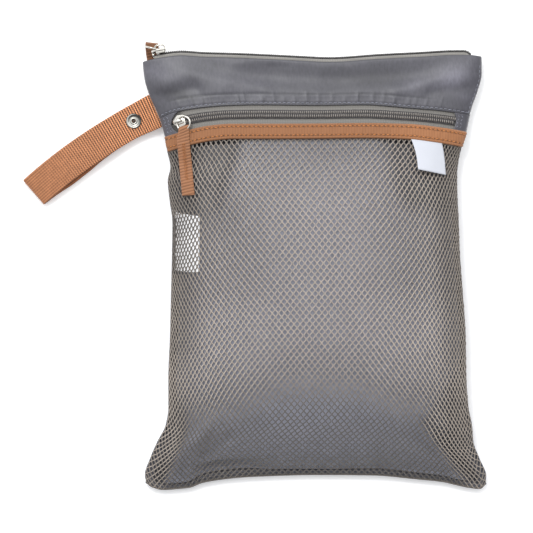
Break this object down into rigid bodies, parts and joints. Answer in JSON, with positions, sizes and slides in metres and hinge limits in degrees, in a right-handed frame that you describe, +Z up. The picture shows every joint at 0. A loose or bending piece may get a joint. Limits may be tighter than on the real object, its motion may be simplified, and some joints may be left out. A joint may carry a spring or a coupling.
{
  "type": "zipped cloth wet bag with a net pocket and a snap-closed webbing wrist strap, lying flat",
  "caption": "Soft padded cloth pouch lying on its back: top zip, smooth yoke, zipped open-net front pocket with a bound edge, ribbon zip pulls and a webbing wrist strap with a ring snap",
  "frame": {"origin": "under the middle of the whole object's box, on the surface that it lies on", "axes": "+Z up, away from the surface it lies on; +Y along the bag towards its top zip; +X to the bag's right, away from the strap"},
  "size_m": [0.3654, 0.3502, 0.0351],
  "materials": {
    "grey_cloth": "smooth coated polyester with a soft sheen",
    "net_yarn": "knitted polyester net",
    "zip_tape": "woven tape",
    "zip_coil": "nylon coil",
    "brown_band": "folded grosgrain binding",
    "brown_ribbon": "woven ribbon",
    "brown_webbing": "ribbed webbing",
    "nickel": "polished nickel plate",
    "white_label": "satin label, bare"
  },
  "bodies": {
    "root": {"back_panel": "grey_cloth", "front_panel": "grey_cloth", "front_yoke": "grey_cloth", "pocket_net": "net_yarn", "pocket_band": "brown_band", "pocket_tape_upper": "zip_tape", "pocket_tape_lower": "zip_tape", "pocket_zip_chain": "zip_coil", "pocket_slider": "nickel", "pocket_pull_ring": "nickel", "pocket_pull_tab": "brown_ribbon", "top_tape_front": "zip_tape", "top_tape_back": "zip_tape", "top_zip_chain": "zip_coil", "top_slider": "nickel", "top_pull_ring": "nickel", "top_pull_tab": "brown_ribbon", "wrist_strap": "brown_webbing", "snap_socket": "nickel", "snap_stud": "nickel", "sewn_tag": "white_label", "care_label": "white_label"}
  },
  "joints": []
}
